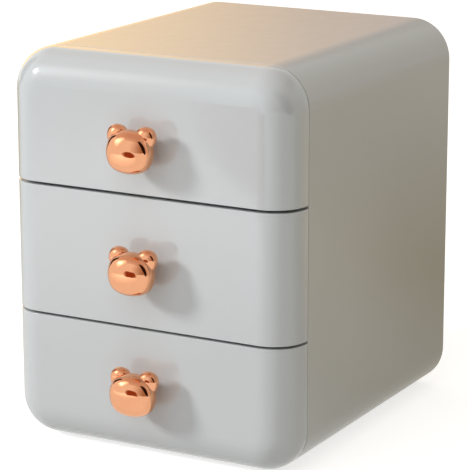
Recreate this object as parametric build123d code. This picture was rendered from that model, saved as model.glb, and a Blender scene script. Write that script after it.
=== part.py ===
"""Desktop makeup organizer: a rounded casing with three pull-out drawers and bear-head knobs.

Millimetres, +Z up. The front faces -Y. The origin is at the middle of the footprint, knobs
included, on the surface that the rubber feet stand on.
"""

import os
from math import atan2, cos, degrees, radians, sin, sqrt

from build123d import *

# Cabinet casing
CABINET_WIDTH = 180.0
CABINET_HEIGHT = 225.0  # from the underside of the casing to its top
CASING_DEPTH = 183.0
CASING_WALL = 2.8
RIM_ROUND = 0.6  # soft edge on the casing's two open ends
DRAWER_NAMES = ("bottom", "middle", "top")

# Drawer fronts, which together make one pillow as wide and high as the casing
FRONT_EDGE_RADIUS = 19.5  # round from the face into the sides
FACE_CORNER_RADIUS = 3.8  # corner of the flat field on the face
FRONT_LAND = 2.1  # straight side between the round and the seam
FRONT_WALL = 2.5
FRONT_GAP = 1.6  # open line between two fronts
SEAM_GAP = 0.6  # open line between the fronts and the casing
FRONT_ROUND = 0.5  # soft edge along those lines
PLATE_LEDGE = 1.2  # step inside a front that its back plate seats on
PLATE_THICKNESS = 2.2
PLATE_FIT = 0.15

# Drawer trays
TRAY_WALL = 2.0
TRAY_SIDE_CLEARANCE = 0.8
TRAY_FLOOR_CLEARANCE = 1.6  # bridged by the skids
TRAY_REAR_CLEARANCE = 1.5  # from the tray to the casing's screw posts
TRAY_HEADROOM_SHARE = 0.8  # of the casing's inner corner radius, so the rim clears that corner
TRAY_END_RADIUS = 6.0
TRAY_RIM_ROUND = 0.6
SKID_WIDTH = 4.0
SKID_INSET = 8.0  # from the start of the tray's rounded lower edge
SKID_SETBACK = 4.0  # from the casing's front rim
RUN_GAP = 0.2  # between a skid and what it slides on

# Drawer stops: a tongue behind each tray meets a wedge under the ceiling of its bay
STOP_SETBACK = 25.2  # from the casing's front rim to the stop's upright face
TONGUE_WIDTH = 40.0
TONGUE_CORNER = 4.0
TONGUE_GAP = 0.8
STOP_GAP = 0.3
STOP_WIDTH = 26.0
STOP_DROP = 2.4
STOP_FLAT = 1.6
STOP_RAMP = 5.0

# Shelves between the drawers, held in channels on the casing's side walls
SHELF_THICKNESS = 2.4
SHELF_SETBACK = 2.0  # from the casing's front rim
SHELF_FIT = 0.15
CHANNEL_DEPTH = 1.6
CHANNEL_RIB = 1.3

# Back panel, seated in a rebate and screwed to four posts in the casing's corners
PANEL_THICKNESS = 2.4
PANEL_INSET = 2.6  # keeps the screw heads inside the rim
PANEL_REBATE = 1.2
PANEL_FIT = 0.2
POST_RADIUS = 4.0
POST_LENGTH = 9.0
POST_SINK = 0.8  # how far a post runs into the casing's corner wall
POST_ANGLE = 45.0  # degrees, towards the corner
PANEL_SCREW_RADIUS = 1.5
PANEL_SCREW_LENGTH = 9.0
PANEL_SCREW_HEAD_RADIUS = 2.9
PANEL_SCREW_HEAD_HEIGHT = 1.9

# Rubber feet, glued in shallow pockets
FOOT_RADIUS = 7.0
FOOT_PROUD = 1.5
FOOT_POCKET = 0.6
FOOT_FIT = 0.1
FOOT_ROUND = 0.5
FOOT_SIDE_INSET = 10.0  # from the start of the casing's rounded corner
FOOT_END_INSET = 24.0  # from the casing's open ends

# Knobs: a bear's head on a short neck, fixed by a screw from inside the tray
KNOB_HEIGHTS = (39.5, 33.4, 26.2)  # above the lower line of each front, bottom to top
KNOB_STANDOFF = 13.0  # from the face to the middle of the head
HEAD_WIDTH = 27.6
HEAD_DEPTH = 18.4
HEAD_HEIGHT = 24.4
HEAD_LIFT = 1.2  # middle of the head above the neck's axis
HEAD_SWELL_SHARE = 1.4  # radius of the head's flatter crown, sides and chin, of its half size
CHEEK_ROUND_SHARE = 0.66  # radius between those, of its half size
EAR_DIAMETER = 12.2
EAR_DEPTH = 9.0
EAR_SPREAD = 17.6  # between the middles of the ears
EAR_RISE = 8.1  # above the middle of the head
EAR_SETBACK = 2.0  # behind the middle of the head
NECK_BASE_RADIUS = 5.6
NECK_BASE_THICKNESS = 0.9
NECK_RADIUS = 4.2
KNOB_SCREW_RADIUS = 2.0
KNOB_SCREW_HEAD_RADIUS = 4.0
KNOB_SCREW_HEAD_HEIGHT = 2.6
KNOB_SCREW_ENGAGEMENT = 8.0
THREAD_FIT = 0.05
SCREW_CLEARANCE = 0.3
SCREW_HOLE_RELIEF = 1.5  # how much deeper a threaded hole is than its screw
BOSS_WALL = 2.6
RECESS_WIDTH_SHARE = 0.24  # of the screw head's radius
RECESS_LENGTH_SHARE = 1.2
RECESS_DEPTH_SHARE = 0.55  # of the screw head's height
HEAD_DOME_SHARE = 0.7

OVERRUN = 1.0  # how far a cutting shape runs past what it cuts
QUARTER_TURN = 90.0  # degrees

# Sizes that follow from the ones above
CORNER_RADIUS = FRONT_EDGE_RADIUS + FACE_CORNER_RADIUS
FRONT_DEPTH = SEAM_GAP + FRONT_LAND + FRONT_EDGE_RADIUS
KNOB_REACH = KNOB_STANDOFF + HEAD_DEPTH / 2
OVERALL_DEPTH = KNOB_REACH + FRONT_DEPTH + CASING_DEPTH
DRAWER_PITCH = CABINET_HEIGHT / len(DRAWER_NAMES)
INNER_WIDTH = CABINET_WIDTH - 2 * CASING_WALL
INNER_HEIGHT = CABINET_HEIGHT - 2 * CASING_WALL
INNER_RADIUS = CORNER_RADIUS - CASING_WALL
TRAY_WIDTH = INNER_WIDTH - 2 * TRAY_SIDE_CLEARANCE
TRAY_RADIUS = INNER_RADIUS - TRAY_SIDE_CLEARANCE
BAY_HEIGHT = DRAWER_PITCH - CASING_WALL - SHELF_THICKNESS / 2  # of the top and bottom bays
TRAY_HEIGHT = BAY_HEIGHT - TRAY_FLOOR_CLEARANCE - TRAY_HEADROOM_SHARE * INNER_RADIUS

# Planes across the depth, front to back
BACK_Y = OVERALL_DEPTH / 2
SEAM_Y = BACK_Y - CASING_DEPTH
RIM_Y = SEAM_Y - SEAM_GAP
PLATE_Y = RIM_Y - PLATE_THICKNESS
FACE_Y = SEAM_Y - FRONT_DEPTH
PANEL_BACK_Y = BACK_Y - PANEL_INSET
PANEL_Y = PANEL_BACK_Y - PANEL_THICKNESS
TRAY_BACK_Y = PANEL_Y - POST_LENGTH - TRAY_REAR_CLEARANCE
STOP_Y = SEAM_Y + STOP_SETBACK
DRAWER_TRAVEL = TRAY_BACK_Y - TRAY_WALL - STOP_GAP - STOP_Y

# Levels
CASING_Z = FOOT_PROUD
TOP_Z = CASING_Z + CABINET_HEIGHT
FLOOR_Z = CASING_Z + CASING_WALL
CEILING_Z = TOP_Z - CASING_WALL


def between_fronts(level):
    """Height of the line under the front at this level."""
    return CASING_Z + level * DRAWER_PITCH


def front_span(level):
    """Lower and upper edge of the front at this level."""
    low = between_fronts(level) + (FRONT_GAP / 2 if level > 0 else 0)
    high = between_fronts(level + 1) - (FRONT_GAP / 2 if level + 1 < len(DRAWER_NAMES) else 0)
    return low, high


def bay_span(level):
    """Floor and ceiling of the bay at this level."""
    floor = FLOOR_Z if level == 0 else between_fronts(level) + SHELF_THICKNESS / 2
    if level + 1 == len(DRAWER_NAMES):
        return floor, CEILING_Z
    return floor, between_fronts(level + 1) - SHELF_THICKNESS / 2


def knob_z(level):
    return between_fronts(level) + KNOB_HEIGHTS[level]


def span_box(x_span, y_span, z_span):
    """A box between two values on each axis."""
    spans = (x_span, y_span, z_span)
    middle = [(low + high) / 2 for low, high in spans]
    return Pos(*middle) * Box(*[high - low for low, high in spans])


def rounded_block(inset, y_front, y_back):
    """The cabinet's rounded outline, drawn in by inset and run from y_front to y_back."""
    outline = RectangleRounded(
        CABINET_WIDTH - 2 * inset, CABINET_HEIGHT - 2 * inset, CORNER_RADIUS - inset
    )
    return extrude(Plane.XZ.offset(-y_back) * Pos(0, (CASING_Z + TOP_Z) / 2) * outline, y_back - y_front)


def pillow(inset, y_front, y_back):
    """A rounded block whose front edge is rolled over into the face."""
    block = rounded_block(inset, y_front, y_back)
    return fillet(block.edges().group_by(Axis.Y)[0], FRONT_EDGE_RADIUS - inset)


def slab(level, inset):
    """The slice of height that one front takes, drawn in by inset at its cut edges only."""
    low, high = front_span(level)
    low += inset if level > 0 else -OVERRUN
    high += OVERRUN if level + 1 == len(DRAWER_NAMES) else -inset
    half = CABINET_WIDTH / 2 + OVERRUN
    return span_box((-half, half), (FACE_Y - OVERRUN, SEAM_Y + OVERRUN), (low, high))


def rod(radius, x, z, y_front, y_back):
    """A round bar along the depth."""
    return Pos(x, (y_front + y_back) / 2, z) * Rot(QUARTER_TURN, 0, 0) * Cylinder(radius, y_back - y_front)


def screw(x, z, seat_y, tip_y, radius, head_radius, head_height):
    """A cross-head screw whose head seats at seat_y and faces the back."""
    head = rod(head_radius, x, z, seat_y, seat_y + head_height)
    head = fillet(head.edges().group_by(Axis.Y)[-1], HEAD_DOME_SHARE * head_height)
    half_width = RECESS_WIDTH_SHARE * head_radius / 2
    half_length = RECESS_LENGTH_SHARE * head_radius / 2
    depth_span = (seat_y + head_height * (1 - RECESS_DEPTH_SHARE), seat_y + head_height + OVERRUN)
    for half_x, half_z in ((half_length, half_width), (half_width, half_length)):
        head -= span_box((x - half_x, x + half_x), depth_span, (z - half_z, z + half_z))
    return head + rod(radius, x, z, tip_y, seat_y)


def stop_wedge(ceiling_z):
    """The wedge under a bay's ceiling: a ramp towards the front and an upright stop behind."""
    front_y = STOP_Y - STOP_FLAT - STOP_RAMP
    low_z = ceiling_z - STOP_DROP
    top_z = ceiling_z + min(SHELF_THICKNESS, CASING_WALL) / 2
    outline = Polyline(
        (front_y, top_z),
        (front_y, ceiling_z),
        (STOP_Y - STOP_FLAT, low_z),
        (STOP_Y, low_z),
        (STOP_Y, top_z),
        close=True,
    )
    return extrude(Plane.YZ * make_face(outline), STOP_WIDTH / 2, both=True)


def post_places():
    """Middle of each screw post, in the casing's four rounded corners."""
    reach = INNER_RADIUS - POST_RADIUS + POST_SINK
    x = CABINET_WIDTH / 2 - CORNER_RADIUS + reach * cos(radians(POST_ANGLE))
    drop = CORNER_RADIUS - reach * sin(radians(POST_ANGLE))
    return [(side * x, z) for side in (-1, 1) for z in (CASING_Z + drop, TOP_Z - drop)]


def foot_places():
    x = CABINET_WIDTH / 2 - CORNER_RADIUS - FOOT_SIDE_INSET
    return {
        "front_left": (-x, SEAM_Y + FOOT_END_INSET),
        "front_right": (x, SEAM_Y + FOOT_END_INSET),
        "rear_left": (-x, BACK_Y - FOOT_END_INSET),
        "rear_right": (x, BACK_Y - FOOT_END_INSET),
    }


def casing():
    outer = rounded_block(0, SEAM_Y, BACK_Y)
    ends = outer.edges().group_by(Axis.Y)
    outer = fillet(ends[0] + ends[-1], RIM_ROUND)
    shell = outer - rounded_block(CASING_WALL, SEAM_Y - OVERRUN, BACK_Y + OVERRUN)
    shell -= rounded_block(CASING_WALL - PANEL_REBATE, PANEL_Y, BACK_Y + OVERRUN)
    wall_x = INNER_WIDTH / 2
    for level in range(1, len(DRAWER_NAMES)):
        slot = SHELF_THICKNESS / 2 + SHELF_FIT
        for side in (-1, 1):
            x_span = sorted((side * (wall_x - CHANNEL_DEPTH), side * (wall_x + CASING_WALL / 2)))
            for low in (slot, -slot - CHANNEL_RIB):
                z = between_fronts(level) + low
                shell += span_box(x_span, (SEAM_Y + SHELF_SETBACK, PANEL_Y), (z, z + CHANNEL_RIB))
    shell += stop_wedge(CEILING_Z)
    pilot_y = PANEL_BACK_Y - PANEL_SCREW_LENGTH - SCREW_HOLE_RELIEF
    for x, z in post_places():
        shell += rod(POST_RADIUS, x, z, PANEL_Y - POST_LENGTH, PANEL_Y)
        shell -= rod(PANEL_SCREW_RADIUS + THREAD_FIT, x, z, pilot_y, PANEL_Y + OVERRUN)
    for x, y in foot_places().values():
        pocket = Cylinder(FOOT_RADIUS + FOOT_FIT, FOOT_POCKET + OVERRUN)
        shell -= Pos(x, y, CASING_Z + (FOOT_POCKET - OVERRUN) / 2) * pocket
    return shell


def foot(x, y):
    pad = Cylinder(FOOT_RADIUS, FOOT_PROUD + FOOT_POCKET)
    pad = fillet(pad.edges().group_by(Axis.Z)[0], FOOT_ROUND)
    return Pos(x, y, (FOOT_PROUD + FOOT_POCKET) / 2) * pad


def back_panel():
    panel = rounded_block(CASING_WALL - PANEL_REBATE + PANEL_FIT, PANEL_Y, PANEL_BACK_Y)
    for x, z in post_places():
        hole_radius = PANEL_SCREW_RADIUS + SCREW_CLEARANCE
        panel -= rod(hole_radius, x, z, PANEL_Y - OVERRUN, PANEL_BACK_Y + OVERRUN)
    return panel


def back_screws():
    tip_y = PANEL_BACK_Y - PANEL_SCREW_LENGTH
    head = (PANEL_SCREW_HEAD_RADIUS, PANEL_SCREW_HEAD_HEIGHT)
    return Compound(
        [screw(x, z, PANEL_BACK_Y, tip_y, PANEL_SCREW_RADIUS, *head) for x, z in post_places()]
    )


def shelf(level):
    """The board under the bay at this level, with the stop for the drawer beneath it."""
    half = INNER_WIDTH / 2 - SHELF_FIT
    z = between_fronts(level)
    z_span = (z - SHELF_THICKNESS / 2, z + SHELF_THICKNESS / 2)
    board = span_box((-half, half), (SEAM_Y + SHELF_SETBACK, PANEL_Y - SHELF_FIT), z_span)
    return board + stop_wedge(z_span[0])


def drawer_front(level):
    """A hollow front with a rebated rim for the tray's plate and a tube for the knob's screw."""
    outer = pillow(0, FACE_Y, RIM_Y) & slab(level, 0)
    low, high = front_span(level)
    lines = outer.edges().group_by(Axis.Y)[-1]
    if level > 0:
        lines += outer.edges().filter_by_position(Axis.Z, low, low).filter_by(lambda e: e not in lines)
    if level + 1 < len(DRAWER_NAMES):
        lines += outer.edges().filter_by_position(Axis.Z, high, high).filter_by(lambda e: e not in lines)
    outer = fillet(lines, FRONT_ROUND)
    cavity_inset = FRONT_WALL + PLATE_LEDGE
    shell = outer - (pillow(cavity_inset, FACE_Y + FRONT_WALL, RIM_Y + OVERRUN) & slab(level, cavity_inset))
    shell -= rounded_block(FRONT_WALL, PLATE_Y, RIM_Y + OVERRUN) & slab(level, FRONT_WALL)
    bore = KNOB_SCREW_RADIUS + SCREW_CLEARANCE
    z = knob_z(level)
    shell += rod(bore + BOSS_WALL, 0, z, FACE_Y + FRONT_WALL / 2, PLATE_Y)
    return shell - rod(bore, 0, z, FACE_Y - OVERRUN, PLATE_Y + OVERRUN)


def trough(inset, y_front, y_back, low, high, end_radius, round_front):
    """A long block with rounded lower edges and rolled ends, as wide as the tray less inset."""
    half = TRAY_WIDTH / 2 - inset
    block = span_box((-half, half), (y_front, y_back), (low, high))
    keel = block.edges().filter_by(Axis.Y).group_by(Axis.Z)[0]
    block = fillet(keel, TRAY_RADIUS - inset)
    ends = block.edges().group_by(Axis.Y)
    rolled = ends[-1].sort_by(Axis.Z)[:-1]
    if round_front:
        rolled += ends[0].sort_by(Axis.Z)[:-1]
    return fillet(rolled, end_radius)


def drawer_tray(level):
    """The tray with the plate that closes the back of its front, skids and a stop tongue."""
    floor, ceiling = bay_span(level)
    low = floor + TRAY_FLOOR_CLEARANCE
    high = low + TRAY_HEIGHT
    plate = rounded_block(FRONT_WALL + PLATE_FIT, PLATE_Y, RIM_Y) & slab(level, FRONT_WALL + PLATE_FIT)
    body = trough(0, RIM_Y, TRAY_BACK_Y, low, high, TRAY_END_RADIUS, False)
    inner_radius = TRAY_END_RADIUS - TRAY_WALL
    hollow = trough(
        TRAY_WALL, RIM_Y, TRAY_BACK_Y - TRAY_WALL, low + TRAY_WALL, high + OVERRUN, inner_radius, True
    )
    walls = body - hollow
    rim = walls.edges().group_by(Axis.Z)[-1].filter_by_position(Axis.Y, RIM_Y, TRAY_BACK_Y, (False, True))
    tray = plate + fillet(rim, TRAY_RIM_ROUND)
    skid_x = TRAY_WIDTH / 2 - TRAY_RADIUS - SKID_INSET
    skid_y = (SEAM_Y + SKID_SETBACK, TRAY_BACK_Y - TRAY_END_RADIUS)
    for x in (-skid_x, skid_x):
        x_span = (x - SKID_WIDTH / 2, x + SKID_WIDTH / 2)
        tray += span_box(x_span, skid_y, (floor + RUN_GAP, low + TRAY_WALL / 2))
    half = TONGUE_WIDTH / 2
    tongue_z = (high - TRAY_END_RADIUS, ceiling - TONGUE_GAP)
    tongue = span_box((-half, half), (TRAY_BACK_Y - TRAY_WALL, TRAY_BACK_Y), tongue_z)
    tongue = fillet(tongue.edges().filter_by(Axis.Y).group_by(Axis.Z)[-1], TONGUE_CORNER)
    tray += tongue
    bore = KNOB_SCREW_RADIUS + SCREW_CLEARANCE
    return tray - rod(bore, 0, knob_z(level), PLATE_Y - OVERRUN, RIM_Y + OVERRUN)


def bear_head():
    """A wide head with full cheeks and two rounded ears, about its own middle."""
    swell, cheek = HEAD_SWELL_SHARE, CHEEK_ROUND_SHARE
    offset = swell - 1
    reach = (sqrt(2 * (swell - cheek) ** 2 - offset**2) - offset) / 2
    turn = degrees(atan2(reach + offset, reach))
    rest = QUARTER_TURN - turn
    outline = Line((0, 1), (0, -1))
    outline += CenterArc((0, offset), swell, -QUARTER_TURN, rest)
    outline += CenterArc((reach, -reach), cheek, -turn, turn - rest)
    outline += CenterArc((-offset, 0), swell, -rest, 2 * rest)
    outline += CenterArc((reach, reach), cheek, rest, turn - rest)
    outline += CenterArc((0, -offset), swell, turn, rest)
    facing = Plane(origin=(0, 0, 0), x_dir=(0, -1, 0), z_dir=(-1, 0, 0))
    head = revolve(facing * make_face(outline), Axis.Z)
    head = scale(head, by=(HEAD_WIDTH / 2, HEAD_DEPTH / 2, HEAD_HEIGHT / 2))
    ear = scale(Sphere(1), by=(EAR_DIAMETER / 2, EAR_DEPTH / 2, EAR_DIAMETER / 2))
    for side in (-1, 1):
        head += Pos(side * EAR_SPREAD / 2, EAR_SETBACK, EAR_RISE) * ear
    return head


def knob(level):
    seat = (0, FACE_Y, knob_z(level))
    flare = NECK_BASE_RADIUS - NECK_RADIUS
    waist = NECK_BASE_THICKNESS + flare
    base_edge = (NECK_BASE_RADIUS, NECK_BASE_THICKNESS)
    outline = Polyline((0, KNOB_STANDOFF), (0, 0), (NECK_BASE_RADIUS, 0), base_edge)
    outline += CenterArc((NECK_BASE_RADIUS, waist), flare, -QUARTER_TURN, -QUARTER_TURN)
    outline += Polyline((NECK_RADIUS, waist), (NECK_RADIUS, KNOB_STANDOFF), (0, KNOB_STANDOFF))
    forward = Plane(origin=seat, x_dir=(1, 0, 0), z_dir=(0, 0, -1))
    neck = revolve(forward * make_face(outline), Axis(seat, (0, 1, 0)))
    whole = neck + Pos(0, FACE_Y - KNOB_STANDOFF, knob_z(level) + HEAD_LIFT) * bear_head()
    hole_y = FACE_Y - KNOB_SCREW_ENGAGEMENT - SCREW_HOLE_RELIEF
    return whole - rod(KNOB_SCREW_RADIUS + THREAD_FIT, 0, knob_z(level), hole_y, FACE_Y + OVERRUN)


def knob_screw(level):
    head = (KNOB_SCREW_HEAD_RADIUS, KNOB_SCREW_HEAD_HEIGHT)
    return screw(0, knob_z(level), RIM_Y, FACE_Y - KNOB_SCREW_ENGAGEMENT, KNOB_SCREW_RADIUS, *head)


def all_parts():
    parts = {"casing_shell": casing(), "back_panel": back_panel(), "back_panel_screws": back_screws()}
    parts["lower_shelf"] = shelf(1)
    parts["upper_shelf"] = shelf(2)
    for place, (x, y) in foot_places().items():
        parts[f"foot_{place}"] = foot(x, y)
    for level, name in enumerate(DRAWER_NAMES):
        parts[f"{name}_drawer_tray"] = drawer_tray(level)
        parts[f"{name}_drawer_front"] = drawer_front(level)
        parts[f"{name}_bear_knob"] = knob(level)
        parts[f"{name}_knob_screw"] = knob_screw(level)
    return parts


def main():
    os.makedirs("parts", exist_ok=True)
    for name, shape in all_parts().items():
        export_step(shape, f"parts/{name}.step")


if __name__ == "__main__":
    main()
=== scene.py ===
"""Desktop makeup organizer: finishes, bear-head knobs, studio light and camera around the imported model."""

import math

import bpy
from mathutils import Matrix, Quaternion, Vector


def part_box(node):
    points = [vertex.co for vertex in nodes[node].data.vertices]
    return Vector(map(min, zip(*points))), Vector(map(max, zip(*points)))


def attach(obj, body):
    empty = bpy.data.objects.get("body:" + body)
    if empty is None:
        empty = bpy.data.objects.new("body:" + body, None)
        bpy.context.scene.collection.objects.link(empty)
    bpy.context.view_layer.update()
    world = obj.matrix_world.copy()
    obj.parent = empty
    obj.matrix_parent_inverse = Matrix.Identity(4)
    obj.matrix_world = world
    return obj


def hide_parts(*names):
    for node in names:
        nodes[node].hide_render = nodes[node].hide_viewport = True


MM = 0.001
DRAWERS = ("bottom", "middle", "top")
FOOT_CORNERS = ("front_left", "front_right", "rear_left", "rear_right")

# Bear knob, in millimetres
HEAD_SIZE = (27.6, 18.3, 24.4)
HEAD_LIFT = 1.2  # middle of the head above the neck's axis
HEAD_ROUNDNESS = 0.9
EAR_SIZE = (12.2, 9.0, 12.2)
EAR_ROUNDNESS = 0.95
EAR_SPREAD = 17.6
EAR_RISE = 9.3  # middle of an ear above the neck's axis
EAR_SETBACK = 2.0  # middle of an ear behind the middle of the head
BALL_CUTS = 3
BALL_SMOOTHING = 3
KNOB_STANDOFF = 13.0  # middle of the head in front of the drawer's face
NECK_BASE_RADIUS = 5.6
NECK_BASE_THICKNESS = 0.9
NECK_RADIUS = 4.2
NECK_SHORTFALL = 1.0  # end of the neck from the middle of the head
NECK_SIDES = 64
FLARE_STEPS = 6
SCREW_HOLE_RADIUS = 2.05
SCREW_HOLE_DEPTH = 9.5
MERGE_DISTANCE = 0.001
SEAT_TOLERANCE = 0.1
CREASE_ANGLE = math.radians(35)

# Finishes
ABS_IOR = 1.54
SILICONE_IOR = 1.42
CLEAR_SKIN_ROUGHNESS = 0.05
SMUDGE_ROUGHNESS = 0.05  # what handling marks add

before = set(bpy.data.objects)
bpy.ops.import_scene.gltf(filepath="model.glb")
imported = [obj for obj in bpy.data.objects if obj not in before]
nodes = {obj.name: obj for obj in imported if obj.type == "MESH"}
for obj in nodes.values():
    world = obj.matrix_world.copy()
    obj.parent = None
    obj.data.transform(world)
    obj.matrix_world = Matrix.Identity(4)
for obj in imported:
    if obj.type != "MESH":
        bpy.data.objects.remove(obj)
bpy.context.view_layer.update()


def linear(hex_colour):
    """An sRGB hex colour as linear RGBA."""
    parts = [int(hex_colour[i : i + 2], 16) / 255 for i in (1, 3, 5)]
    return [c / 12.92 if c <= 0.04045 else ((c + 0.055) / 1.055) ** 2.4 for c in parts] + [1.0]


def across(size):
    """The texture scale of a pattern that is this many millimetres across."""
    return 1 / (size * MM)


def add(tree, kind, links=None, **settings):
    """Adds a node, sets its properties, and sets or links its inputs."""
    made = tree.nodes.new(kind)
    for name, value in settings.items():
        setattr(made, name, value)
    for socket, value in (links or {}).items():
        if isinstance(value, bpy.types.NodeSocket):
            tree.links.new(value, made.inputs[socket])
        else:
            made.inputs[socket].default_value = value
    return made


def blend(tree, along, shades):
    """A colour that runs smoothly through the shades, each given at its place along the value."""
    first, last = shades[0][0], shades[-1][0]
    share = add(tree, "ShaderNodeMapRange", {"Value": along, "From Min": first, "From Max": last})
    ramp = add(tree, "ShaderNodeValToRGB", {"Fac": share.outputs["Result"]})
    stops = ramp.color_ramp.elements
    while len(stops) < len(shades):
        stops.new(1.0)
    for stop, (place, colour) in zip(stops, shades):
        stop.position = (place - first) / (last - first)
        stop.color = linear(colour)
    return ramp.outputs["Color"]


def new_material(name):
    """A node material with its tree, its shader and the place on the piece."""
    material = bpy.data.materials.new(name)
    material.use_nodes = True
    tree = material.node_tree
    surface = tree.nodes["Principled BSDF"]
    place = add(tree, "ShaderNodeTexCoord").outputs["Object"]
    return material, tree, surface, place


def moulded_abs(name, colour, shade, roughness, peel, seed, clear_skin=0.0):
    """Gloss ABS from a polished mould: a clear but slightly wavy reflection over a near even body colour.

    A clear skin without pigment, where it has one, is smoother than the body and deepens the mirror.
    """
    material, tree, surface, place = new_material(name)
    # Cloudy shift of the pigment, 60 mm across
    cloud = add(
        tree, "ShaderNodeTexNoise", {"Vector": place, "W": seed, "Scale": across(60), "Detail": 2.0},
        noise_dimensions="4D",
    )
    tint = add(
        tree, "ShaderNodeMix", {0: cloud.outputs["Fac"], 6: linear(colour), 7: linear(shade)},
        data_type="RGBA",
    )
    # Handling marks, 9 mm across, which dull the gloss a little
    smudge = add(
        tree, "ShaderNodeTexNoise", {"Vector": place, "W": seed, "Scale": across(9), "Detail": 4.0},
        noise_dimensions="4D",
    )
    gloss = add(tree, "ShaderNodeMapRange", {
        "Value": smudge.outputs["Fac"], "From Min": 0.35, "From Max": 0.75,
        "To Min": roughness, "To Max": roughness + SMUDGE_ROUGHNESS,
    })
    # Orange peel of the moulded skin: 2 mm waves, drawn coarser than the real 0.5 mm so that they show
    waves = add(tree, "ShaderNodeTexNoise", {"Vector": place, "Scale": across(2), "Detail": 1.0})
    skin = add(
        tree, "ShaderNodeBump", {"Height": waves.outputs["Fac"], "Strength": 1.0, "Distance": peel * MM}
    )
    tree.links.new(tint.outputs[2], surface.inputs["Base Color"])
    tree.links.new(gloss.outputs["Result"], surface.inputs["Roughness"])
    tree.links.new(skin.outputs["Normal"], surface.inputs["Normal"])
    surface.inputs["IOR"].default_value = ABS_IOR
    surface.inputs["Coat Weight"].default_value = clear_skin
    surface.inputs["Coat Roughness"].default_value = CLEAR_SKIN_ROUGHNESS
    return material


def textured_abs():
    """ABS from a spark-eroded mould: an even fine grain that breaks the gloss up into a soft sheen."""
    material, tree, surface, place = new_material("abs_spark_textured")
    # Cloudy shift of the pigment, 45 mm across
    cloud = add(tree, "ShaderNodeTexNoise", {"Vector": place, "Scale": across(45), "Detail": 2.0})
    tint = add(
        tree, "ShaderNodeMix", {0: cloud.outputs["Fac"], 6: linear("#d2d4d3"), 7: linear("#cacccb")},
        data_type="RGBA",
    )
    # Grain of 0.8 mm, drawn coarser than the real 0.1 mm so that it shows
    grain = add(tree, "ShaderNodeTexVoronoi", {"Vector": place, "Scale": across(0.8)})
    sheen = add(
        tree, "ShaderNodeMapRange", {"Value": grain.outputs["Distance"], "To Min": 0.42, "To Max": 0.58}
    )
    pits = add(tree, "ShaderNodeBump", {
        "Height": grain.outputs["Distance"], "Strength": 0.35, "Distance": 0.05 * MM,
    })
    tree.links.new(tint.outputs[2], surface.inputs["Base Color"])
    tree.links.new(sheen.outputs["Result"], surface.inputs["Roughness"])
    tree.links.new(pits.outputs["Normal"], surface.inputs["Normal"])
    surface.inputs["IOR"].default_value = ABS_IOR
    return material


def rose_gold():
    """Rose-gold plating on a polished casting: a mirror with the polishing wheel's soft ripple."""
    material, tree, surface, place = new_material("rose_gold_plated_polished")
    # Thickness of the plating, which shifts its colour over 6 mm
    film = add(tree, "ShaderNodeTexNoise", {"Vector": place, "Scale": across(6), "Detail": 3.0})
    tint = add(
        tree, "ShaderNodeMix", {0: film.outputs["Fac"], 6: linear("#f4b289"), 7: linear("#eea87c")},
        data_type="RGBA",
    )
    # Fingerprints and polishing haze, 3 mm across
    haze = add(tree, "ShaderNodeTexNoise", {"Vector": place, "Scale": across(3), "Detail": 5.0})
    gloss = add(tree, "ShaderNodeMapRange", {
        "Value": haze.outputs["Fac"], "From Min": 0.4, "From Max": 0.8, "To Min": 0.04, "To Max": 0.12,
    })
    # Ripple of the polishing wheel, 5 mm across
    ripple = add(tree, "ShaderNodeTexNoise", {"Vector": place, "Scale": across(5), "Detail": 1.0})
    wheel = add(
        tree, "ShaderNodeBump", {"Height": ripple.outputs["Fac"], "Strength": 1.0, "Distance": 0.10 * MM}
    )
    tree.links.new(tint.outputs[2], surface.inputs["Base Color"])
    tree.links.new(gloss.outputs["Result"], surface.inputs["Roughness"])
    tree.links.new(wheel.outputs["Normal"], surface.inputs["Normal"])
    surface.inputs["Metallic"].default_value = 1.0
    return material


def zinc_steel():
    """Zinc-plated screw steel: cool grey with the cloudy crystal bloom of the plating."""
    material, tree, surface, place = new_material("steel_zinc_plated")
    # Crystals of 0.9 mm, drawn coarser than the real 0.3 mm so that they show
    bloom = add(tree, "ShaderNodeTexVoronoi", {"Vector": place, "Scale": across(0.9)})
    tint = add(
        tree, "ShaderNodeMix", {0: bloom.outputs["Distance"], 6: linear("#c3c7cb"), 7: linear("#9a9fa5")},
        data_type="RGBA",
    )
    gloss = add(
        tree, "ShaderNodeMapRange", {"Value": bloom.outputs["Distance"], "To Min": 0.24, "To Max": 0.42}
    )
    tree.links.new(tint.outputs[2], surface.inputs["Base Color"])
    tree.links.new(gloss.outputs["Result"], surface.inputs["Roughness"])
    surface.inputs["Metallic"].default_value = 1.0
    return material


def foot_rubber():
    """Moulded silicone rubber: matte grey, slightly dusty, with a fine grain."""
    material, tree, surface, place = new_material("silicone_rubber_moulded")
    # Dust in patches of 2.5 mm
    dust = add(tree, "ShaderNodeTexNoise", {"Vector": place, "Scale": across(2.5), "Detail": 6.0})
    tint = add(
        tree, "ShaderNodeMix", {0: dust.outputs["Fac"], 6: linear("#b4b5b2"), 7: linear("#a6a7a4")},
        data_type="RGBA",
    )
    # Grain of the mould, 0.4 mm across
    grain = add(tree, "ShaderNodeTexNoise", {"Vector": place, "Scale": across(0.4), "Detail": 2.0})
    pits = add(
        tree, "ShaderNodeBump", {"Height": grain.outputs["Fac"], "Strength": 0.4, "Distance": 0.05 * MM}
    )
    tree.links.new(tint.outputs[2], surface.inputs["Base Color"])
    tree.links.new(pits.outputs["Normal"], surface.inputs["Normal"])
    surface.inputs["Roughness"].default_value = 0.82
    surface.inputs["IOR"].default_value = SILICONE_IOR
    return material


def dress(piece, material):
    """Gives a piece its one material."""
    piece.data.materials.clear()
    piece.data.materials.append(material)


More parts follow.
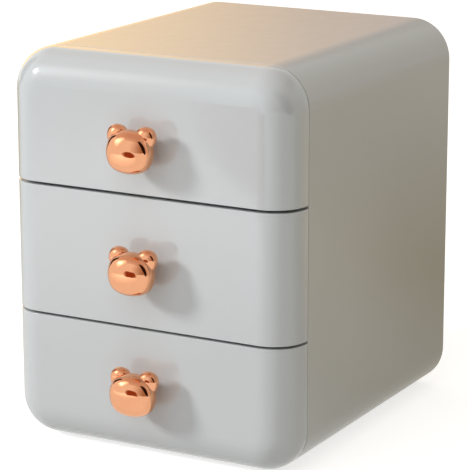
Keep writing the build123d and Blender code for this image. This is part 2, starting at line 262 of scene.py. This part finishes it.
gloss_front = moulded_abs(
    "abs_gloss_moulded_front", "#c9cdcf", "#c5c9ca", roughness=0.08, peel=0.010, seed=1.0, clear_skin=0.6
)
gloss_casing = moulded_abs(
    "abs_gloss_moulded_casing", "#cccdcb", "#c7c8c6", roughness=0.16, peel=0.020, seed=2.0
)
tray_abs = textured_abs()
plating = rose_gold()
screw_metal = zinc_steel()
rubber = foot_rubber()

finishes = {
    "casing_shell": gloss_casing,
    "back_panel": gloss_casing,
    "back_panel_screws": screw_metal,
    "lower_shelf": tray_abs,
    "upper_shelf": tray_abs,
}
for corner in FOOT_CORNERS:
    finishes[f"foot_{corner}"] = rubber
for drawer in DRAWERS:
    finishes[f"{drawer}_drawer_tray"] = tray_abs
    finishes[f"{drawer}_drawer_front"] = gloss_front
    finishes[f"{drawer}_bear_knob"] = plating
    finishes[f"{drawer}_knob_screw"] = screw_metal
for name, finish in finishes.items():
    dress(nodes[name], finish)


def soft_ball(name, size, centre, roundness):
    """A ball drawn from a block: the less round, the fuller its cheeks."""
    bpy.ops.object.select_all(action="DESELECT")
    bpy.ops.mesh.primitive_cube_add(size=MM, location=centre)
    ball = bpy.context.object
    ball.name = name
    bpy.ops.object.transform_apply(location=True, rotation=True, scale=True)
    bpy.ops.object.mode_set(mode="EDIT")
    bpy.ops.mesh.select_all(action="SELECT")
    bpy.ops.mesh.subdivide(number_cuts=BALL_CUTS)
    bpy.ops.transform.tosphere(value=roundness)
    bpy.ops.object.mode_set(mode="OBJECT")
    smooth = ball.modifiers.new("smooth", "SUBSURF")
    smooth.levels = smooth.render_levels = BALL_SMOOTHING
    bpy.ops.object.modifier_apply(modifier=smooth.name)
    stretch = [want * MM / have for want, have in zip(size, ball.dimensions)]
    bpy.ops.object.mode_set(mode="EDIT")
    bpy.ops.mesh.select_all(action="SELECT")
    bpy.ops.transform.resize(value=stretch, center_override=centre)
    bpy.ops.object.mode_set(mode="OBJECT")
    return ball


def neck_rings():
    """How far out each ring of the neck stands from the drawer's face, and its radius."""
    flare = NECK_BASE_RADIUS - NECK_RADIUS
    rings = [(NECK_BASE_THICKNESS, NECK_BASE_RADIUS)]
    for step in range(1, FLARE_STEPS + 1):
        turn = math.radians(90) * step / FLARE_STEPS
        out = NECK_BASE_THICKNESS + flare * (1 - math.cos(turn))
        rings.append((out, NECK_BASE_RADIUS - flare * math.sin(turn)))
    rings.append((KNOB_STANDOFF - NECK_SHORTFALL, NECK_RADIUS))
    return rings


def knob_neck(name, seat):
    """The flared neck from the drawer's face into the head, with the hole for its screw."""
    bpy.ops.object.select_all(action="DESELECT")
    bpy.ops.mesh.primitive_circle_add(
        vertices=NECK_SIDES, radius=NECK_BASE_RADIUS * MM, fill_type="NGON", location=seat,
        rotation=(math.radians(90), 0, 0),
    )
    neck = bpy.context.object
    neck.name = name
    bpy.ops.object.transform_apply(location=True, rotation=True, scale=True)
    bpy.ops.object.mode_set(mode="EDIT")
    bpy.ops.mesh.select_all(action="SELECT")
    out, radius = 0.0, NECK_BASE_RADIUS
    for ring_out, ring_radius in neck_rings():
        bpy.ops.mesh.extrude_region_move(TRANSFORM_OT_translate={"value": (0, (out - ring_out) * MM, 0)})
        place = (seat[0], seat[1] - ring_out * MM, seat[2])
        bpy.ops.transform.resize(value=(ring_radius / radius,) * 3, center_override=place)
        out, radius = ring_out, ring_radius
    bpy.ops.object.mode_set(mode="OBJECT")
    for face in neck.data.polygons:
        at_seat = face.center.y > seat[1] - SEAT_TOLERANCE * MM
        face.select = len(face.vertices) == NECK_SIDES and at_seat
    bpy.ops.object.mode_set(mode="EDIT")
    bpy.ops.mesh.select_mode(type="FACE")
    bpy.ops.mesh.inset(thickness=(NECK_BASE_RADIUS - SCREW_HOLE_RADIUS) * MM)
    bpy.ops.mesh.extrude_region_move(TRANSFORM_OT_translate={"value": (0, -SCREW_HOLE_DEPTH * MM, 0)})
    bpy.ops.mesh.select_all(action="SELECT")
    bpy.ops.mesh.remove_doubles(threshold=MERGE_DISTANCE * MM)
    bpy.ops.mesh.normals_make_consistent(inside=False)
    bpy.ops.object.mode_set(mode="OBJECT")
    return neck


def copy_moved(piece, name, shift):
    """A second piece with its own mesh, set over by the shift."""
    bpy.ops.object.select_all(action="DESELECT")
    piece.select_set(True)
    bpy.context.view_layer.objects.active = piece
    bpy.ops.object.duplicate(linked=False)
    copy = bpy.context.object
    copy.name = name
    copy.location = shift
    bpy.ops.object.transform_apply(location=True, rotation=True, scale=True)
    return copy


def bear_knob(name, seat):
    """A bear's head with full cheeks on its neck, cast in one piece."""
    middle = (seat[0], seat[1] - KNOB_STANDOFF * MM, seat[2] + HEAD_LIFT * MM)
    head = soft_ball(name, HEAD_SIZE, middle, HEAD_ROUNDNESS)
    neck = knob_neck("neck", seat)
    ear_place = (seat[0] - EAR_SPREAD / 2 * MM, middle[1] + EAR_SETBACK * MM, seat[2] + EAR_RISE * MM)
    left_ear = soft_ball("left_ear", EAR_SIZE, ear_place, EAR_ROUNDNESS)
    right_ear = copy_moved(left_ear, "right_ear", (EAR_SPREAD * MM, 0, 0))
    bpy.ops.object.select_all(action="DESELECT")
    head.select_set(True)
    bpy.context.view_layer.objects.active = head
    for part in (neck, left_ear, right_ear):
        join = head.modifiers.new("join", "BOOLEAN")
        join.operation = "UNION"
        join.solver = "EXACT"
        join.object = part
        bpy.ops.object.modifier_apply(modifier=join.name)
        bpy.data.objects.remove(part)
    bpy.ops.object.shade_smooth_by_angle(angle=CREASE_ANGLE)
    dress(head, plating)
    return head


def knob_seat(drawer):
    """Where the knob's screw comes through the drawer's face."""
    knob_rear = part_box(f"{drawer}_bear_knob")[1].y
    screw_low, screw_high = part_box(f"{drawer}_knob_screw")
    return Vector((0.0, knob_rear, (screw_low.z + screw_high.z) / 2))


first_seat = knob_seat(DRAWERS[0])
first_knob = bear_knob(f"{DRAWERS[0]}_bear_knob_cast", first_seat)
knobs = {DRAWERS[0]: first_knob}
for drawer in DRAWERS[1:]:
    knobs[drawer] = copy_moved(first_knob, f"{drawer}_bear_knob_cast", knob_seat(drawer) - first_seat)
for drawer, knob in knobs.items():
    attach(knob, f"{drawer}_drawer")
    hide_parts(f"{drawer}_bear_knob")

# The photograph's viewing angle
AZIMUTH = math.radians(28.678)
ELEVATION = math.radians(14.098)
to_camera = Vector((
    math.sin(AZIMUTH) * math.cos(ELEVATION), -math.cos(AZIMUTH) * math.cos(ELEVATION), math.sin(ELEVATION)
))
mirrored_by_top = (-to_camera.x, -to_camera.y, to_camera.z)  # what the camera sees in the gloss top

# Floor, in metres. Behind the cabinet, gloss sees a wall's warm shade on it, paler towards the horizon.
FLOOR_SIZE = 12.0
FLOOR_PAINT = "#d4d4d4"
CAMERA_LIFT = 0.72  # light added for the camera, which brings the lit floor up to white
NEAR_SHADES = ((-0.15, "#ffffff"), (0.09, "#d4d1c6"))  # by distance behind the cabinet's middle
WALL_SHADE = ((0.03, "#a08a56"), (0.08, "#f2e8cc"))  # from its middle to its right edge
WALL_SHADE_ACROSS = (math.cos(AZIMUTH), -math.sin(AZIMUTH), 0.0)
WALL_SHADE_SETS_IN = (0.09, 0.36)  # distance behind the cabinet's middle, from and to
HORIZON_SHADE = "#f0ebe2"
HORIZON_SETS_IN = (0.36, 1.1)  # likewise


def mirrored_floor(tree):
    """The colour in which gloss sees the floor."""
    place = add(tree, "ShaderNodeTexCoord").outputs["Object"]
    depth = add(tree, "ShaderNodeSeparateXYZ", {0: place}).outputs["Y"]
    sideways = add(tree, "ShaderNodeVectorMath", {0: place, 1: WALL_SHADE_ACROSS}, operation="DOT_PRODUCT")
    wall_shade = blend(tree, sideways.outputs["Value"], WALL_SHADE)
    horizon_shade = linear(HORIZON_SHADE)
    shade = blend(tree, depth, NEAR_SHADES)
    for (begin, end), far_shade in ((WALL_SHADE_SETS_IN, wall_shade), (HORIZON_SETS_IN, horizon_shade)):
        share = add(tree, "ShaderNodeMapRange", {"Value": depth, "From Min": begin, "From Max": end})
        mixed = add(
            tree, "ShaderNodeMix", {0: share.outputs["Result"], 6: shade, 7: far_shade}, data_type="RGBA"
        )
        shade = mixed.outputs[2]
    return shade


def studio_floor():
    """A pale matt floor that keeps the shadow, white where the camera sees it in full light."""
    bpy.ops.object.select_all(action="DESELECT")
    bpy.ops.mesh.primitive_plane_add(size=FLOOR_SIZE, location=(0, 0, 0))
    floor = bpy.context.object
    floor.name = "studio_floor"
    paint = bpy.data.materials.new("studio_floor_matt_paint")
    paint.use_nodes = True
    tree = paint.node_tree
    tree.nodes.remove(tree.nodes["Principled BSDF"])
    path = add(tree, "ShaderNodeLightPath").outputs
    lift = add(tree, "ShaderNodeMath", {0: path["Is Camera Ray"], 1: CAMERA_LIFT}, operation="MULTIPLY")
    matt = add(tree, "ShaderNodeBsdfDiffuse", {"Color": linear(FLOOR_PAINT)})
    glow = add(tree, "ShaderNodeEmission", {"Color": linear("#ffffff"), "Strength": lift.outputs[0]})
    lit = add(tree, "ShaderNodeAddShader", {0: matt.outputs[0], 1: glow.outputs[0]})
    mirrored = add(
        tree, "ShaderNodeMath", {0: path["Is Glossy Ray"], 1: path["Is Transmission Ray"]},
        operation="ADD", use_clamp=True,
    )
    mirror_glow = add(tree, "ShaderNodeEmission", {"Color": mirrored_floor(tree), "Strength": 1.0})
    shown = add(
        tree, "ShaderNodeMixShader", {0: mirrored.outputs[0], 1: lit.outputs[0], 2: mirror_glow.outputs[0]}
    )
    tree.links.new(shown.outputs[0], tree.nodes["Material Output"].inputs["Surface"])
    dress(floor, paint)


# Room
ROOM_SHADES = ((-0.2, "#aaa8a3"), (0.9, "#9d927b"))  # of its light, by how far to the right it comes from
WALL_SHADES = ((0.56, "#ffffff"), (0.66, "#e6dad6"), (0.95, "#d2bcb2"))  # as seen, from walls to ceiling
FRONT_RIGHT = (0.8, -0.6, 0.0)
RIGHT_SHADES = ((0.4, "#ffffff"), (1.0, "#ac8a74"))  # as seen, by how far to the front right


def studio_room():
    """Soft grey light, dimmer and warmer from the right. The camera and gloss see pale walls instead."""
    world = bpy.data.worlds.new("studio_room")
    bpy.context.scene.world = world
    world.use_nodes = True
    tree = world.node_tree
    path = add(tree, "ShaderNodeLightPath").outputs
    direct = add(
        tree, "ShaderNodeMath", {0: path["Is Camera Ray"], 1: path["Is Glossy Ray"]}, operation="ADD"
    )
    seen = add(
        tree, "ShaderNodeMath", {0: direct.outputs[0], 1: path["Is Transmission Ray"]},
        operation="ADD", use_clamp=True,
    )
    towards = add(tree, "ShaderNodeTexCoord").outputs["Generated"]
    view = add(tree, "ShaderNodeSeparateXYZ", {0: towards}).outputs
    right = add(tree, "ShaderNodeVectorMath", {0: towards, 1: FRONT_RIGHT}, operation="DOT_PRODUCT")
    height_shade = blend(tree, view["Z"], WALL_SHADES)
    right_shade = blend(tree, right.outputs["Value"], RIGHT_SHADES)
    walls = add(
        tree, "ShaderNodeMix", {0: 1.0, 6: height_shade, 7: right_shade},
        data_type="RGBA", blend_type="MULTIPLY",
    )
    light = blend(tree, view["X"], ROOM_SHADES)
    level = add(
        tree, "ShaderNodeMix", {0: seen.outputs[0], 6: light, 7: walls.outputs[2]}, data_type="RGBA"
    )
    tree.links.new(level.outputs[2], tree.nodes["Background"].inputs["Color"])


def face_target(panel, direction, distance, target, turn=0.0):
    """Sets a panel at that distance from the target, facing it, and turned by degrees in its own plane."""
    towards = Vector(direction).normalized()
    panel.location = Vector(target) + towards * distance
    in_plane = Quaternion((0, 0, 1), math.radians(turn))
    panel.rotation_euler = (towards.to_track_quat("Z", "Y") @ in_plane).to_euler()


# Where the lamps and the cards face, in metres
LAMP_TARGET = (0, -0.05, 0.12)
CARD_TARGET = (0, -0.08, 0.12)
CARD_SIDES = 64


def softbox(name, direction, distance, size, watts, colour, mirrored=False):
    """An oval lamp panel, which gloss shows only if it is mirrored."""
    lamp = bpy.data.lights.new(name, "AREA")
    lamp.shape = "ELLIPSE"
    lamp.size, lamp.size_y = size
    lamp.energy = watts
    lamp.color = linear(colour)[:3]
    panel = bpy.data.objects.new(name, lamp)
    bpy.context.scene.collection.objects.link(panel)
    face_target(panel, direction, distance, LAMP_TARGET)
    panel.visible_glossy = mirrored


def card(
    name, direction, distance, size, shades, strength=1.0, turn=0.0, target=CARD_TARGET, from_middle=False
):
    """An oval panel that only gloss shows, shaded across, or from its middle to its rim."""
    bpy.ops.object.select_all(action="DESELECT")
    bpy.ops.mesh.primitive_circle_add(vertices=CARD_SIDES, radius=0.5, fill_type="NGON")
    panel = bpy.context.object
    panel.name = name
    face_target(panel, direction, distance, target, turn)
    panel.scale = (*size, 1.0)
    paint = bpy.data.materials.new(name)
    paint.use_nodes = True
    tree = paint.node_tree
    tree.nodes.remove(tree.nodes["Principled BSDF"])
    place = add(tree, "ShaderNodeTexCoord").outputs["Object"]
    if from_middle:
        along = add(tree, "ShaderNodeVectorMath", {0: place}, operation="LENGTH").outputs["Value"]
    else:
        along = add(tree, "ShaderNodeSeparateXYZ", {0: place}).outputs["X"]
    glow = add(tree, "ShaderNodeEmission", {"Color": blend(tree, along, shades), "Strength": strength})
    tree.links.new(glow.outputs[0], tree.nodes["Material Output"].inputs["Surface"])
    dress(panel, paint)
    panel.visible_camera = panel.visible_diffuse = panel.visible_shadow = panel.visible_transmission = False


# Shades of the cards, by place on a card that is 1 across
WINDOW = ((0.2, "#ffffff"), (0.5, "#b8a8a4"))
WARM_WALL = ((-0.45, "#c4c2c0"), (-0.16, "#807876"), (-0.05, "#aa8e78"), (0.085, "#ffd08a"))
DARK_FLAG = ((-0.5, "#2a1c15"), (0.5, "#2a1c15"))
BROWN_FLAG = ((-0.5, "#4a2c22"), (0.5, "#4a2c22"))
TABLE_EDGE = ((-0.5, "#e0c8b8"), (-0.3, "#954b27"), (0.3, "#954b27"), (0.5, "#e0c8b8"))
FLOOR_GLOW = ((0.1, "#ffffff"), (0.5, "#cccccc"))

studio_floor()
studio_room()
softbox(
    "key_softbox", direction=(-0.69, -0.575, 0.44), distance=3.6, size=(0.74, 0.74), watts=71.0,
    colour="#ffffff", mirrored=True,
)
softbox(
    "front_fill", direction=(0.05, -0.78, 0.63), distance=1.0, size=(1.13, 0.9), watts=2.45,
    colour="#eef3ff",
)
softbox(
    "warm_top", direction=(-0.5, 0.5, 0.7), distance=1.5, size=(1.13, 0.8), watts=1.4, colour="#ffd2a0"
)
softbox(
    "ceiling_light", direction=(0.12, -0.25, 0.96), distance=2.2, size=(2.0, 2.0), watts=4.5,
    colour="#f6f9ff",
)
card(
    "window_card", direction=(-0.63, -0.59, 0.475), distance=1.2, size=(0.54, 0.95), shades=WINDOW,
    strength=2.2, from_middle=True,
)
card("left_flag", direction=(-0.93, 0.05, 0.36), distance=1.0, size=(0.42, 0.8), shades=BROWN_FLAG)
card("dark_flag", direction=(0.82, -0.42, 0.42), distance=1.2, size=(0.6, 1.7), shades=DARK_FLAG, turn=35)
card(
    "warm_wall", direction=mirrored_by_top, distance=2.2, size=(3.2, 1.4), shades=WARM_WALL, strength=1.75
)
card(
    "table_edge", direction=(-0.17, -0.98, -0.10), distance=0.6, size=(0.37, 0.18), shades=TABLE_EDGE,
    turn=-8,
)
card(
    "floor_glow", direction=(0, 0, -1), distance=0.117, size=(0.9, 0.9), shades=FLOOR_GLOW, strength=1.6,
    target=(-0.32, -0.62, 0.12), from_middle=True,
)

# Camera, fitted to the photograph's outlines
LOOK_AT = Vector((0, 0.0207, 0.1095))
CAMERA_DISTANCE = 1.3583
FOCAL_LENGTH = 176.62
SENSOR_WIDTH = 36.0
LENS_SHIFT = (-0.01523, -0.01554)
lens = bpy.data.cameras.new("camera")
lens.lens = FOCAL_LENGTH
lens.sensor_width = SENSOR_WIDTH
lens.shift_x, lens.shift_y = LENS_SHIFT
camera = bpy.data.objects.new("camera", lens)
bpy.context.scene.collection.objects.link(camera)
camera.location = LOOK_AT + to_camera * CAMERA_DISTANCE
camera.rotation_euler = to_camera.to_track_quat("Z", "Y").to_euler()
bpy.context.scene.camera = camera
bpy.context.scene.view_settings.view_transform = "Standard"
